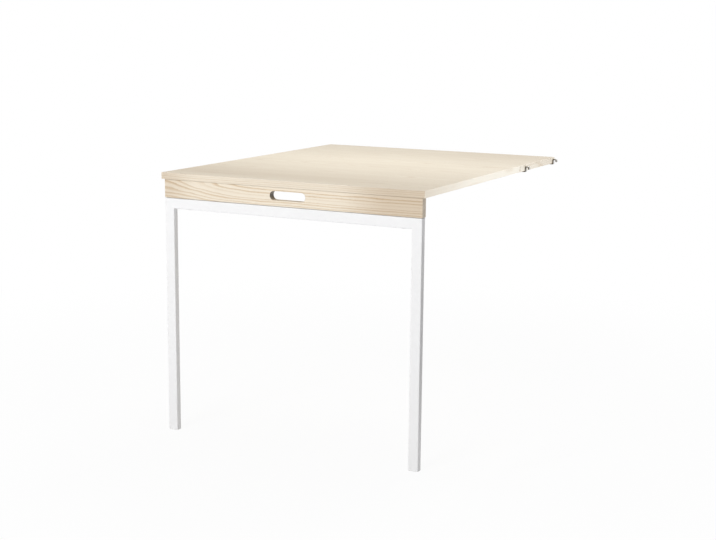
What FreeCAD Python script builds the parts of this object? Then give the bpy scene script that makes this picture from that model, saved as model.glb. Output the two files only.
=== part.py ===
"""Wall-hung drop-leaf table: a shelf board on four hooks, a hinged leaf, and a folding leg frame.

Millimetres. X runs across the table, Y towards the wall and Z up. The origin is on the floor, in the
middle of the table's width and depth. The leaf is level and the leg frame stands upright.
"""
import FreeCAD
import Part
import math
import os
from FreeCAD import Vector

# Table top
TABLE_WIDTH = 780.0
TABLE_HEIGHT = 720.0
LEAF_DEPTH = 660.0  # front edge to the middle of the seam
SHELF_DEPTH = 300.0  # middle of the seam to the rear edge
BOARD_THICKNESS = 18.0
SEAM_GAP = 1.0
EDGE_STRIP = 3.0  # solid-wood strip glued round each veneered board
EDGE_ROUNDING = 0.8

# Apron under the leaf's front edge
APRON_HEIGHT = 50.0
APRON_THICKNESS = 20.0
APRON_SETBACK = 4.5
APRON_SIDE_INSET = 7.5
APRON_ROUNDING = 0.8
GRIP_LENGTH = 105.0
GRIP_HEIGHT = 24.0
GRIP_BELOW_BOARD = 10.5
GRIP_ROUNDING = 1.0
DOWEL_RADIUS = 4.0
DOWEL_LENGTH = 30.0
DOWEL_IN_BOARD = 10.0
DOWEL_END_ROOM = 0.5
DOWELS_PER_SIDE = 3
DOWEL_FROM_END = 36.0
DOWEL_PITCH = 115.0

# Leg frame
TUBE_WIDTH = 28.0
TUBE_DEPTH = 18.0
TUBE_WALL = 1.5
TUBE_ROUNDING = 2.0
FRAME_END_INSET = 0.5  # frame's ends inside the apron's ends
BUFFER_THICKNESS = 1.0
BUFFER_LENGTH = 14.0
BUFFER_WIDTH = 10.0
BUFFER_FROM_END = 60.0
FOOT_LIP = 3.0
FOOT_PLUG_LENGTH = 18.0
FOOT_PLUG_WALL = 2.5
FOOT_ROUNDING = 1.2

# Fold pivots between the leaf and the leg frame
BRACKET_FROM_END = 62.5  # apron's end to the bracket's outer face
BRACKET_METAL = 3.0
BRACKET_WIDTH = 28.0
BRACKET_REACH = 62.0
BRACKET_ABOVE_EDGE = 5.0
EYE_RADIUS = 7.0
EYE_CLEARANCE = 0.5
PIVOT_ABOVE_TUBE_EDGE = 2.0  # low enough for the folded feet to stop short of the seam
EAR_METAL = 3.0
EAR_ROOT = 22.0
EAR_ABOVE_TUBE_EDGE = 2.0
WASHER_THICKNESS = 1.0
WASHER_RADIUS = 6.5
BOLT_RADIUS = 3.0
BOLT_HEAD_RADIUS = 5.2
BOLT_HEAD_HEIGHT = 3.3
BOLT_HEAD_ROUNDING = 2.0
BOLT_SOCKET_FLATS = 4.0
BOLT_SOCKET_DEPTH = 2.0
BOLT_TAIL = 1.5
NUT_FLATS = 10.0
NUT_HEIGHT = 6.0

# Butt hinges under the seam
HINGE_FROM_CENTRE = 270.0
HINGE_LENGTH = 60.0
HINGE_WING_DEPTH = 30.0
HINGE_METAL = 2.0
HINGE_DROP = 4.0  # hinge axis below the boards' underside
KNUCKLES = 5
KNUCKLE_GAP = 0.2
KNUCKLE_CLEARANCE = 0.3
PIN_RADIUS = 2.0
PIN_HEAD_RADIUS = 2.8
PIN_HEAD_LENGTH = 1.0

# Hooks on the shelf's sides
HOOK_METAL = 3.0
HOOK_WIDTH = 10.0
HOOK_RUNG_RADIUS = 3.5
HOOK_BELOW_TOP = 4.0
HOOK_TIP = 3.0
HOOK_ROUNDING = 2.4
HOOK_FOOT_LENGTH = 32.0
REAR_HOOK_INSET = 15.0
HOOK_SPACING = 241.0

# Countersunk wood screws
SCREW_RADIUS = 1.75
SCREW_HEAD_RADIUS = 3.5
SCREW_HEAD_HEIGHT = 1.8
SCREW_LENGTH = 15.0
SCREW_POINT = 4.0
SCREW_SLOT_WIDTH = 0.9
SCREW_SLOT_LENGTH = 4.2
SCREW_SLOT_DEPTH = 1.1
HINGE_SCREW_INSET = 10.0
HINGE_SCREW_STAGGER = 4.0
HOOK_SCREW_FIRST = 10.0
HOOK_SCREW_PITCH = 14.0
BRACKET_SCREW_PITCH = 24.0
BRACKET_SCREW_INSET = 7.0

FIT_CLEARANCE = 0.05  # radial or per side, for pins, bolts, screws, dowels and plugs

# Places that follow from the sizes above
FRONT = -(LEAF_DEPTH + SHELF_DEPTH) / 2
REAR = FRONT + LEAF_DEPTH + SHELF_DEPTH
SEAM = FRONT + LEAF_DEPTH
SIDE = TABLE_WIDTH / 2
UNDERSIDE = TABLE_HEIGHT - BOARD_THICKNESS
APRON_FRONT = FRONT + APRON_SETBACK
APRON_REAR = APRON_FRONT + APRON_THICKNESS
APRON_BOTTOM = UNDERSIDE - APRON_HEIGHT
APRON_END = SIDE - APRON_SIDE_INSET
FRAME_TOP = APRON_BOTTOM - BUFFER_THICKNESS
FRAME_END = APRON_END - FRAME_END_INSET
FRAME_REAR = APRON_FRONT + TUBE_DEPTH
FRAME_MIDDLE = APRON_FRONT + TUBE_DEPTH / 2
CROSSBAR_BOTTOM = FRAME_TOP - TUBE_WIDTH
LEG_CENTRE = FRAME_END - TUBE_WIDTH / 2
PIVOT_Y = max(APRON_REAR, FRAME_REAR) + EYE_CLEARANCE + EYE_RADIUS
PIVOT_Z = CROSSBAR_BOTTOM + PIVOT_ABOVE_TUBE_EDGE
WEB_OUTER = APRON_END - BRACKET_FROM_END
WEB_INNER = WEB_OUTER - BRACKET_METAL
HINGE_AXIS_Z = UNDERSIDE - HINGE_DROP
KNUCKLE_RADIUS = HINGE_DROP - KNUCKLE_CLEARANCE
HOOK_EYE_X = SIDE + HOOK_METAL + HOOK_RUNG_RADIUS
HOOK_EYE_Z = TABLE_HEIGHT - HOOK_BELOW_TOP - HOOK_METAL - HOOK_RUNG_RADIUS
REAR_HOOK_Y = REAR - REAR_HOOK_INSET
FRONT_HOOK_Y = REAR_HOOK_Y - HOOK_SPACING

UP = Vector(0, 0, 1)
TO_FRONT = Vector(0, -1, 0)
TO_WALL = Vector(0, 1, 0)
ACROSS = Vector(1, 0, 0)
HINGE_CENTRES = {"left": -HINGE_FROM_CENTRE, "middle": 0.0, "right": HINGE_FROM_CENTRE}


def box(x0, x1, y0, y1, z0, z1):
    """A block between two corners."""
    return Part.makeBox(x1 - x0, y1 - y0, z1 - z0, Vector(x0, y0, z0))


def rod(radius, x0, x1, y, z):
    """A cylinder along X."""
    return Part.makeCylinder(radius, x1 - x0, Vector(x0, y, z), ACROSS)


def mirrored(shape):
    """The same shape on the other side of the table's middle."""
    return shape.mirror(Vector(0, 0, 0), ACROSS)


def on_side(shape, side):
    """A shape made for the right side, or its mirror image for the left."""
    return shape if side == "right" else mirrored(shape)


def rounded(shape, radius, wanted):
    """Rounds the straight edges that the test accepts, given each edge's two ends."""
    edges = [e for e in shape.Edges if wanted(e.Vertexes[0].Point, e.Vertexes[-1].Point)]
    return shape.makeFillet(radius, edges)


def rounded_face(width, depth, radius, centre):
    """A flat rectangle with round corners, level, about a centre."""
    block = Part.makeBox(width, depth, 1.0, centre - Vector(width / 2, depth / 2, 1.0))
    block = rounded(block, radius, lambda a, b: abs(a.z - b.z) > 0.5)
    return max(block.Faces, key=lambda face: face.CenterOfMass.z)


def tangent_point(point, centre, radius, turn):
    """Where a line from a point in the YZ plane touches a circle, on the side that turn says."""
    reach = math.hypot(point[0] - centre[0], point[1] - centre[1])
    bearing = math.atan2(point[1] - centre[1], point[0] - centre[0])
    angle = bearing + turn * math.acos(radius / reach)
    return centre[0] + radius * math.cos(angle), centre[1] + radius * math.sin(angle)


def eye_plate(x0, x1, root, radius):
    """A plate across X that narrows from a straight root to a round eye on the fold pivot.

    The root's two ends are given in turn, anticlockwise as seen from +X.
    """
    centre = (PIVOT_Y, PIVOT_Z)
    points = [root[0], root[1]]
    points.append(tangent_point(root[1], centre, radius, 1))
    points.append(centre)
    points.append(tangent_point(root[0], centre, radius, -1))
    corners = [Vector(x0, y, z) for y, z in points]
    wedge = Part.Face(Part.makePolygon(corners + corners[:1])).extrude(ACROSS * (x1 - x0))
    plate = wedge.fuse(rod(radius, x0, x1, *centre)).removeSplitter()
    return plate.cut(rod(BOLT_RADIUS + FIT_CLEARANCE, x0 - 1, x1 + 1, *centre))


def placed(shape, point, direction):
    """A shape made along +Z from the origin, moved to a point and turned along a direction."""
    turned = shape.copy()
    turned.Placement = FreeCAD.Placement(point, FreeCAD.Rotation(UP, direction))
    return turned


def hexagon(flats, height):
    """A hexagonal prism from the origin along +Z, with flats across Y."""
    corner = flats / math.sqrt(3)
    turns = [math.radians(60 * i) for i in range(7)]
    points = [Vector(corner * math.cos(t), corner * math.sin(t), 0) for t in turns]
    return Part.Face(Part.makePolygon(points)).extrude(Vector(0, 0, height))


def wood_screw():
    """A countersunk screw along +Z, its flat head at the origin, with a cross recess."""
    shank_end = SCREW_LENGTH - SCREW_POINT
    head = Part.makeCone(SCREW_HEAD_RADIUS, SCREW_RADIUS, SCREW_HEAD_HEIGHT)
    shank = Part.makeCylinder(SCREW_RADIUS, shank_end)
    point = Part.makeCone(SCREW_RADIUS, 0, SCREW_POINT, Vector(0, 0, shank_end))
    long_way = SCREW_SLOT_LENGTH / 2
    short_way = SCREW_SLOT_WIDTH / 2
    slot = box(-long_way, long_way, -short_way, short_way, 0, SCREW_SLOT_DEPTH)
    cross = slot.fuse(box(-short_way, short_way, -long_way, long_way, 0, SCREW_SLOT_DEPTH))
    return head.fuse([shank, point]).removeSplitter().cut(cross)


def screw_hole():
    """The countersunk hole that a wood screw fills, with clearance all round."""
    grown = FIT_CLEARANCE
    head = Part.makeCone(SCREW_HEAD_RADIUS + grown, SCREW_RADIUS + grown, SCREW_HEAD_HEIGHT)
    shank = Part.makeCylinder(SCREW_RADIUS + grown, SCREW_LENGTH + grown)
    return head.fuse(shank)


def holes(places, direction):
    """Screw holes at several places, all in one direction."""
    return [placed(screw_hole(), point, direction) for point in places]


def screws(places, direction):
    """Wood screws at several places, all in one direction."""
    return [placed(wood_screw(), point, direction) for point in places]


# Places of the fasteners

def hinge_screw_places(toward_wall):
    """Screw heads on the wings of all hinges, on the shelf's or the leaf's side of the seam."""
    sign = 1 if toward_wall else -1
    y = SEAM + sign * (HINGE_WING_DEPTH + KNUCKLE_RADIUS) / 2
    spread = HINGE_LENGTH / 2 - HINGE_SCREW_INSET
    z = UNDERSIDE - HINGE_METAL
    shifts = ((-spread, HINGE_SCREW_STAGGER), (0, 0), (spread, HINGE_SCREW_STAGGER))
    return [Vector(x + along, y + sign * away, z)
            for x in HINGE_CENTRES.values() for along, away in shifts]


def hook_screw_places():
    """Screw heads on the feet of the four hooks."""
    insets = (HOOK_SCREW_FIRST, HOOK_SCREW_FIRST + HOOK_SCREW_PITCH)
    return [Vector(side * (SIDE - inset), y, UNDERSIDE - HOOK_METAL)
            for side in (-1, 1) for y in (FRONT_HOOK_Y, REAR_HOOK_Y) for inset in insets]


def bracket_screw_x():
    """Distance of both brackets' screws from the table's middle."""
    return WEB_INNER - (BRACKET_WIDTH - BRACKET_METAL) / 2


def bracket_board_screw_places():
    """Screw heads of both brackets, driven up into the leaf."""
    rear = APRON_REAR + BRACKET_REACH - BRACKET_SCREW_INSET
    return [Vector(side * bracket_screw_x(), y, UNDERSIDE - BRACKET_METAL)
            for side in (-1, 1) for y in (rear - BRACKET_SCREW_PITCH, rear)]


def bracket_apron_screw_places():
    """Screw heads of both brackets, driven forwards into the apron."""
    middle = (UNDERSIDE - BRACKET_METAL + APRON_BOTTOM + BRACKET_ABOVE_EDGE) / 2
    half = BRACKET_SCREW_PITCH / 2
    return [Vector(side * bracket_screw_x(), APRON_REAR + BRACKET_METAL, z)
            for side in (-1, 1) for z in (middle - half, middle + half)]


def dowels(radius, end_room):
    """Dowels between apron and leaf; as holes they are wider and longer at both ends."""
    bottom = UNDERSIDE + DOWEL_IN_BOARD - DOWEL_LENGTH - end_room
    y = (APRON_FRONT + APRON_REAR) / 2
    steps = [APRON_END - DOWEL_FROM_END - i * DOWEL_PITCH for i in range(DOWELS_PER_SIDE)]
    return [Part.makeCylinder(radius, DOWEL_LENGTH + 2 * end_room, Vector(side * step, y, bottom))
            for side in (-1, 1) for step in steps]


def dowel_holes():
    """Holes for the dowels, in the apron and the leaf."""
    return dowels(DOWEL_RADIUS + FIT_CLEARANCE, DOWEL_END_ROOM)


# Boards

def board_pieces(name, y0, y1):
    """A veneered board and the four solid strips round it, cut from one rounded blank."""
    blank = box(-SIDE, SIDE, y0, y1, UNDERSIDE, TABLE_HEIGHT)
    blank = blank.makeFillet(EDGE_ROUNDING, blank.Edges)
    inner = SIDE - EDGE_STRIP
    low, high = UNDERSIDE, TABLE_HEIGHT
    front, rear = y0 + EDGE_STRIP, y1 - EDGE_STRIP
    cuts = {
        name + "_panel": box(-inner, inner, front, rear, low, high),
        name + "_edge_front": box(-SIDE, SIDE, y0, front, low, high),
        name + "_edge_rear": box(-SIDE, SIDE, rear, y1, low, high),
        name + "_edge_left": box(-SIDE, -inner, front, rear, low, high),
        name + "_edge_right": box(inner, SIDE, front, rear, low, high),
    }
    return {node: blank.common(cut) for node, cut in cuts.items()}


def shelf_board():
    """The board that hangs on the hooks."""
    pieces = board_pieces("shelf", SEAM + SEAM_GAP / 2, REAR)
    drilled = holes(hinge_screw_places(True) + hook_screw_places(), UP)
    pieces["shelf_panel"] = pieces["shelf_panel"].cut(drilled)
    return pieces


def leaf_board():
    """The hinged board, drilled for its hinges, brackets and dowels."""
    pieces = board_pieces("leaf", FRONT, SEAM - SEAM_GAP / 2)
    drilled = holes(hinge_screw_places(False) + bracket_board_screw_places(), UP)
    pieces["leaf_panel"] = pieces["leaf_panel"].cut(drilled + dowel_holes())
    return pieces


# Apron

def grip_slot():
    """The slot that a hand reaches through, round at both ends, with eased edges."""
    radius = GRIP_HEIGHT / 2
    z = UNDERSIDE - GRIP_BELOW_BOARD - radius
    half = GRIP_LENGTH / 2 - radius
    y0 = APRON_FRONT
    slot = box(-half, half, y0, APRON_REAR, z - radius, z + radius)
    for x in (-half, half):
        slot = slot.fuse(Part.makeCylinder(radius, APRON_THICKNESS, Vector(x, y0, z), TO_WALL))
    return slot.removeSplitter()


def apron():
    """The front rail with its grip slot."""
    rail = box(-APRON_END, APRON_END, APRON_FRONT, APRON_REAR, APRON_BOTTOM, UNDERSIDE)
    rail = rounded(rail, APRON_ROUNDING, lambda a, b: min(a.z, b.z) < UNDERSIDE - 1)
    rail = rail.cut(grip_slot())
    rims = [e for e in rail.Edges if is_grip_rim(e)]
    rail = rail.makeFillet(GRIP_ROUNDING, rims)
    drilled = holes(bracket_apron_screw_places(), TO_FRONT)
    return rail.cut(drilled + dowel_holes())


def is_grip_rim(edge):
    """Whether an edge runs round the slot's mouth on the apron's front or rear face."""
    limits = edge.BoundBox
    flat = limits.YLength < 0.01
    within = max(-limits.XMin, limits.XMax) < GRIP_LENGTH / 2 + 1
    return flat and within and limits.ZMax < UNDERSIDE - 1 and limits.ZMin > APRON_BOTTOM + 1


def buffers():
    """Pads under the apron that the crossbar comes up against."""
    pads = {}
    x = APRON_END - BUFFER_FROM_END
    half = BUFFER_WIDTH / 2
    low = FRAME_MIDDLE - half
    pad = box(x - BUFFER_LENGTH, x, low, low + BUFFER_WIDTH, FRAME_TOP, APRON_BOTTOM)
    for side in ("left", "right"):
        pads["buffer_" + side] = on_side(pad, side)
    return pads


# Leg frame

def tube(length, start, direction):
    """The frame's rectangular tube, from the middle of its start along a direction."""
    middle = Vector(0, 0, 0)
    wall = 2 * TUBE_WALL
    outer = rounded_face(TUBE_WIDTH, TUBE_DEPTH, TUBE_ROUNDING, middle)
    inner = rounded_face(TUBE_WIDTH - wall, TUBE_DEPTH - wall, TUBE_ROUNDING - TUBE_WALL, middle)
    run = outer.cut(inner).extrude(Vector(0, 0, length))
    return placed(run, start, direction)


def mitre_wedge(above):
    """What the mitre takes off the right corner: above its slope for a leg, below it for the bar."""
    inner = FRAME_END - TUBE_WIDTH
    past = 5.0
    y0, y1 = APRON_FRONT - past, FRAME_REAR + past
    start = (inner - past, CROSSBAR_BOTTOM - past)
    end = (FRAME_END + past, FRAME_TOP + past)
    third = (inner - past, FRAME_TOP + past) if above else (FRAME_END + past, CROSSBAR_BOTTOM - past)
    corners = [Vector(x, y0, z) for x, z in (start, end, third, start)]
    return Part.Face(Part.makePolygon(corners)).extrude(Vector(0, y1 - y0, 0))


def leg_right():
    """A leg, mitred at its top and open at its foot."""
    start = Vector(LEG_CENTRE, FRAME_MIDDLE, FOOT_LIP)
    return tube(FRAME_TOP - FOOT_LIP, start, UP).cut(mitre_wedge(True))


def crossbar():
    """The bar between the legs, mitred at both ends."""
    start = Vector(-FRAME_END, FRAME_MIDDLE, (CROSSBAR_BOTTOM + FRAME_TOP) / 2)
    bar = tube(2 * FRAME_END, start, ACROSS)
    wedge = mitre_wedge(False)
    return bar.cut([wedge, mirrored(wedge)])


def foot_right():
    """The plastic plug that closes a leg and stands on the floor."""
    at = Vector(LEG_CENTRE, FRAME_MIDDLE, 0)
    lip = rounded_face(TUBE_WIDTH, TUBE_DEPTH, TUBE_ROUNDING, at).extrude(Vector(0, 0, FOOT_LIP))
    base = [e for e in lip.Edges if e.BoundBox.ZMax < 0.01]
    lip = lip.makeFillet(FOOT_ROUNDING, base)
    shrink = 2 * (TUBE_WALL + FIT_CLEARANCE)
    plug = rounded_face(TUBE_WIDTH - shrink, TUBE_DEPTH - shrink, TUBE_ROUNDING - TUBE_WALL, at)
    plug = plug.extrude(Vector(0, 0, FOOT_LIP + FOOT_PLUG_LENGTH))
    shrink += 2 * FOOT_PLUG_WALL
    hollow = rounded_face(TUBE_WIDTH - shrink, TUBE_DEPTH - shrink, TUBE_ROUNDING - TUBE_WALL,
                          at + Vector(0, 0, FOOT_LIP))
    hollow = hollow.extrude(Vector(0, 0, FOOT_PLUG_LENGTH + 1))
    return lip.fuse(plug).removeSplitter().cut(hollow)


# Fold pivots

def fold_bracket_right():
    """A bracket in the corner of leaf and apron, reaching down to the pivot's eye."""
    far = APRON_REAR + BRACKET_REACH
    near = PIVOT_Y - EYE_RADIUS
    inner = WEB_OUTER - BRACKET_WIDTH
    web = eye_plate(WEB_INNER, WEB_OUTER, ((far, UNDERSIDE), (near, UNDERSIDE)), EYE_RADIUS)
    under = box(inner, WEB_OUTER, APRON_REAR, far, UNDERSIDE - BRACKET_METAL, UNDERSIDE)
    behind = box(inner, WEB_OUTER, APRON_REAR, APRON_REAR + BRACKET_METAL,
                 APRON_BOTTOM + BRACKET_ABOVE_EDGE, UNDERSIDE)
    bracket = web.fuse([under, behind]).removeSplitter()
    drilled = holes(bracket_board_screw_places(), UP) + holes(bracket_apron_screw_places(), TO_FRONT)
    return bracket.cut(drilled)


def ear_spans():
    """Where the two ears of the right pivot start and end, across X."""
    outer = WEB_OUTER + WASHER_THICKNESS
    inner = WEB_INNER - WASHER_THICKNESS
    return (inner - EAR_METAL, inner), (outer, outer + EAR_METAL)


def pivot_ears_right():
    """Two ears on the crossbar's rear face, one each side of the bracket's web."""
    low = CROSSBAR_BOTTOM + EAR_ABOVE_TUBE_EDGE
    root = ((FRAME_REAR, low + EAR_ROOT), (FRAME_REAR, low))
    return Part.makeCompound([eye_plate(x0, x1, root, EYE_RADIUS) for x0, x1 in ear_spans()])


def pivot_washers():
    """Friction washers between the webs and the ears, at both pivots."""
    hole = BOLT_RADIUS + FIT_CLEARANCE
    rings = []
    for x in (WEB_INNER - WASHER_THICKNESS, WEB_OUTER):
        ring = rod(WASHER_RADIUS, x, x + WASHER_THICKNESS, PIVOT_Y, PIVOT_Z)
        ring = ring.cut(rod(hole, x - 1, x + WASHER_THICKNESS + 1, PIVOT_Y, PIVOT_Z))
        rings += [ring, mirrored(ring)]
    return Part.makeCompound(rings)


def pivot_bolt_right():
    """A button-head bolt through ears, washers and web, its head outside."""
    inner, outer = ear_spans()[0][0], ear_spans()[1][1]
    shank = rod(BOLT_RADIUS, inner - NUT_HEIGHT - BOLT_TAIL, outer, PIVOT_Y, PIVOT_Z)
    head = rod(BOLT_HEAD_RADIUS, outer, outer + BOLT_HEAD_HEIGHT, PIVOT_Y, PIVOT_Z)
    crown = [e for e in head.Edges if e.BoundBox.XMin > outer + BOLT_HEAD_HEIGHT - 0.01]
    head = head.makeFillet(BOLT_HEAD_ROUNDING, crown)
    mouth = Vector(outer + BOLT_HEAD_HEIGHT, PIVOT_Y, PIVOT_Z)
    socket = placed(hexagon(BOLT_SOCKET_FLATS, BOLT_SOCKET_DEPTH), mouth, ACROSS * -1)
    return shank.fuse(head).removeSplitter().cut(socket)


def pivot_nut_right():
    """A lock nut on the inner end of the pivot bolt."""
    start = ear_spans()[0][0]
    nut = placed(hexagon(NUT_FLATS, NUT_HEIGHT), Vector(start, PIVOT_Y, PIVOT_Z), ACROSS * -1)
    bore = rod(BOLT_RADIUS + FIT_CLEARANCE, start - NUT_HEIGHT - 1, start + 1, PIVOT_Y, PIVOT_Z)
    return nut.cut(bore)


# Hinges

def knuckle_span(x, index):
    """Start and end of one knuckle of the hinge centred on x."""
    pitch = HINGE_LENGTH / KNUCKLES
    start = x - HINGE_LENGTH / 2 + index * pitch
    return start + KNUCKLE_GAP / 2, start + pitch - KNUCKLE_GAP / 2


def hinge_wing(x, toward_wall):
    """One wing under its board, with every other knuckle round the pin."""
    sign = 1 if toward_wall else -1
    own = [i for i in range(KNUCKLES) if i % 2 == (0 if toward_wall else 1)]
    half = HINGE_LENGTH / 2
    root = HINGE_DROP + KNUCKLE_CLEARANCE
    top = UNDERSIDE
    low = UNDERSIDE - HINGE_METAL
    ys = sorted((SEAM + sign * root, SEAM + sign * HINGE_WING_DEPTH))
    wing = box(x - half, x + half, ys[0], ys[1], low, top)
    for index in own:
        x0, x1 = knuckle_span(x, index)
        ys = sorted((SEAM, SEAM + sign * (root + 1)))
        wing = wing.fuse(box(x0, x1, ys[0], ys[1], low, top))
        wing = wing.fuse(rod(KNUCKLE_RADIUS, x0, x1, SEAM, HINGE_AXIS_Z))
    bore = rod(PIN_RADIUS + FIT_CLEARANCE, x - half - 1, x + half + 1, SEAM, HINGE_AXIS_Z)
    return wing.removeSplitter().cut([bore] + holes(hinge_screw_places(toward_wall), UP))


def hinge_pin(x):
    """The hinge pin, with a peened head at each end."""
    half = HINGE_LENGTH / 2
    pin = rod(PIN_RADIUS, x - half, x + half, SEAM, HINGE_AXIS_Z)
    for start in (x - half - PIN_HEAD_LENGTH, x + half):
        pin = pin.fuse(rod(PIN_HEAD_RADIUS, start, start + PIN_HEAD_LENGTH, SEAM, HINGE_AXIS_Z))
    return pin.removeSplitter()


# Hooks

def hook_right(y):
    """A bent steel strip: foot under the shelf, up its side, and over a rung of the side panel."""
    y0 = y - HOOK_WIDTH / 2
    y1 = y + HOOK_WIDTH / 2
    outer = HOOK_EYE_X + HOOK_RUNG_RADIUS
    foot = box(SIDE - HOOK_FOOT_LENGTH, SIDE + HOOK_METAL, y0, y1, UNDERSIDE - HOOK_METAL, UNDERSIDE)
    foot = rounded(foot, HOOK_ROUNDING,
                   lambda a, b: min(a.x, b.x) > SIDE and max(a.z, b.z) < UNDERSIDE - HOOK_METAL / 2)
    foot = rounded(foot, HOOK_ROUNDING,
                   lambda a, b: max(a.x, b.x) < SIDE and abs(a.z - b.z) > HOOK_METAL / 2)
    riser = box(SIDE, SIDE + HOOK_METAL, y0, y1, UNDERSIDE, HOOK_EYE_Z)
    eye = Vector(HOOK_EYE_X, y0, HOOK_EYE_Z)
    bend = Part.makeCylinder(HOOK_RUNG_RADIUS + HOOK_METAL, HOOK_WIDTH, eye, TO_WALL)
    bend = bend.cut(Part.makeCylinder(HOOK_RUNG_RADIUS, HOOK_WIDTH, eye, TO_WALL))
    bend = bend.common(box(SIDE - 1, outer + HOOK_METAL + 1, y0, y1, HOOK_EYE_Z, TABLE_HEIGHT))
    tip = box(outer, outer + HOOK_METAL, y0, y1, HOOK_EYE_Z - HOOK_TIP, HOOK_EYE_Z)
    hook = foot.fuse([riser, bend, tip]).removeSplitter()
    return hook.cut(holes(hook_screw_places(), UP))


def fastener_group(solids):
    """Like fasteners kept together as separate solids."""
    return Part.makeCompound(solids)


def all_parts():
    """Every node of the table by name."""
    parts = {}
    parts.update(shelf_board())
    parts.update(leaf_board())
    parts["apron"] = apron()
    parts["apron_dowels"] = fastener_group(dowels(DOWEL_RADIUS, 0.0))
    parts.update(buffers())
    for where, x in HINGE_CENTRES.items():
        parts["hinge_shelf_wing_" + where] = hinge_wing(x, True)
        parts["hinge_leaf_wing_" + where] = hinge_wing(x, False)
        parts["hinge_pin_" + where] = hinge_pin(x)
    parts["shelf_hinge_screws"] = fastener_group(screws(hinge_screw_places(True), UP))
    parts["leaf_hinge_screws"] = fastener_group(screws(hinge_screw_places(False), UP))
    for where, y in (("front", FRONT_HOOK_Y), ("rear", REAR_HOOK_Y)):
        for side in ("left", "right"):
            parts["hook_" + where + "_" + side] = on_side(hook_right(y), side)
    parts["hook_screws"] = fastener_group(screws(hook_screw_places(), UP))
    parts["crossbar"] = crossbar()
    for side in ("left", "right"):
        parts["leg_" + side] = on_side(leg_right(), side)
        parts["foot_" + side] = on_side(foot_right(), side)
        parts["fold_bracket_" + side] = on_side(fold_bracket_right(), side)
        parts["pivot_ears_" + side] = on_side(pivot_ears_right(), side)
        parts["pivot_bolt_" + side] = on_side(pivot_bolt_right(), side)
        parts["pivot_nut_" + side] = on_side(pivot_nut_right(), side)
    parts["pivot_washers"] = pivot_washers()
    bracket_screws = screws(bracket_board_screw_places(), UP)
    bracket_screws += screws(bracket_apron_screw_places(), TO_FRONT)
    parts["fold_bracket_screws"] = fastener_group(bracket_screws)
    return parts


def main():
    os.makedirs("parts", exist_ok=True)
    for name, shape in all_parts().items():
        shape.exportStep(os.path.join("parts", name + ".step"))


main()
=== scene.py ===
"""Finishes a wall-hung drop-leaf table in ash, powder coat and plated steel, in a plain studio.

Metres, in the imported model's frame: X across the table from its middle, +Y towards the wall, Z up from
the floor.
"""
import math
from functools import partial
from typing import NamedTuple

import bmesh
import bpy
from bpy.props import FloatProperty, FloatVectorProperty, PointerProperty
from bpy.types import Operator, Panel, PropertyGroup
from mathutils import Matrix, Vector


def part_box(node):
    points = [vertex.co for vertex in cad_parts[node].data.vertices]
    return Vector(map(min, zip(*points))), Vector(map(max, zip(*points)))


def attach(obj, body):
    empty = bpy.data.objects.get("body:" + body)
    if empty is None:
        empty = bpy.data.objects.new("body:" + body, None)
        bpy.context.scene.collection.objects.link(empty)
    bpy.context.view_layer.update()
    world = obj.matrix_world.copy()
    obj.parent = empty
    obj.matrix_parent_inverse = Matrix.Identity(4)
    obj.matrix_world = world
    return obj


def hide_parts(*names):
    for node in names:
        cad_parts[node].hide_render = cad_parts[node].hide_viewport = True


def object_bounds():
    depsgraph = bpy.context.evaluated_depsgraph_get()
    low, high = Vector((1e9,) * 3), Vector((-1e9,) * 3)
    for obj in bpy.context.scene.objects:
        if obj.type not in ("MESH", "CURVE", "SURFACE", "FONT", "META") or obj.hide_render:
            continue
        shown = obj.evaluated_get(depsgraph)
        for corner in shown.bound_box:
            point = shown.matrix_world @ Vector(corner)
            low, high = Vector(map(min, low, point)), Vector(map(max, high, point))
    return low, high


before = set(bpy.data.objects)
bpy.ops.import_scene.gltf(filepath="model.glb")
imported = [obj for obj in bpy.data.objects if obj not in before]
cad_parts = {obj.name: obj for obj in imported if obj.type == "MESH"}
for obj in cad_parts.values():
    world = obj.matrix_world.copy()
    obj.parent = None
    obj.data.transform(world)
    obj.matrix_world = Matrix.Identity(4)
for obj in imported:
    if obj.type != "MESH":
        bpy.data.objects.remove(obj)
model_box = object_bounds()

bl_info = {
    "name": "Drop Leaf Table",
    "version": (1, 0, 0),
    "blender": (4, 5, 0),
    "location": "3D View > Sidebar > Table",
    "description": "Dresses a drop-leaf table in lacquered ash, powder coat and plated steel",
    "category": "Object",
}

SIDES = ("left", "right")
HINGES = ("left", "middle", "right")
BOARDS = ("shelf", "leaf")
WHITE = (1.0, 1.0, 1.0)
BLACK = (0.0, 0.0, 0.0)

LEAF_LOW, LEAF_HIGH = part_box("leaf_panel")
APRON_LOW, APRON_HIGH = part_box("apron")
TABLE_RIGHT = model_box[1].x
SHELF_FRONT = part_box("shelf_panel")[0].y
BAR_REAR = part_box("crossbar")[1].y
FRONT_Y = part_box("leaf_edge_front")[0].y
SEAM_Y = (LEAF_HIGH.y + SHELF_FRONT) / 2
BOARD_MIDDLE = (LEAF_LOW.z + LEAF_HIGH.z) / 2


# Settings that a user would change

def colour_setting(name, description, default):
    """A colour that is shown with a swatch."""
    return FloatVectorProperty(
        name=name, description=description, default=default, subtype="COLOR", min=0.0, max=1.0)


def length_setting(name, description, default):
    """A length in metres."""
    return FloatProperty(
        name=name, description=description, default=default, min=0.0, unit="LENGTH", precision=4)


def share_setting(name, description, default):
    """A share from nothing to all."""
    return FloatProperty(
        name=name, description=description, default=default, min=0.0, max=1.0, subtype="FACTOR")


def angle_setting(name, description, default):
    """An angle in radians, shown in degrees."""
    return FloatProperty(
        name=name, description=description, default=default, subtype="ANGLE", unit="ROTATION")


def power_setting(name, description, default):
    """The power of a lamp in watts."""
    return FloatProperty(name=name, description=description, default=default, min=0.0, unit="POWER")


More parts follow.
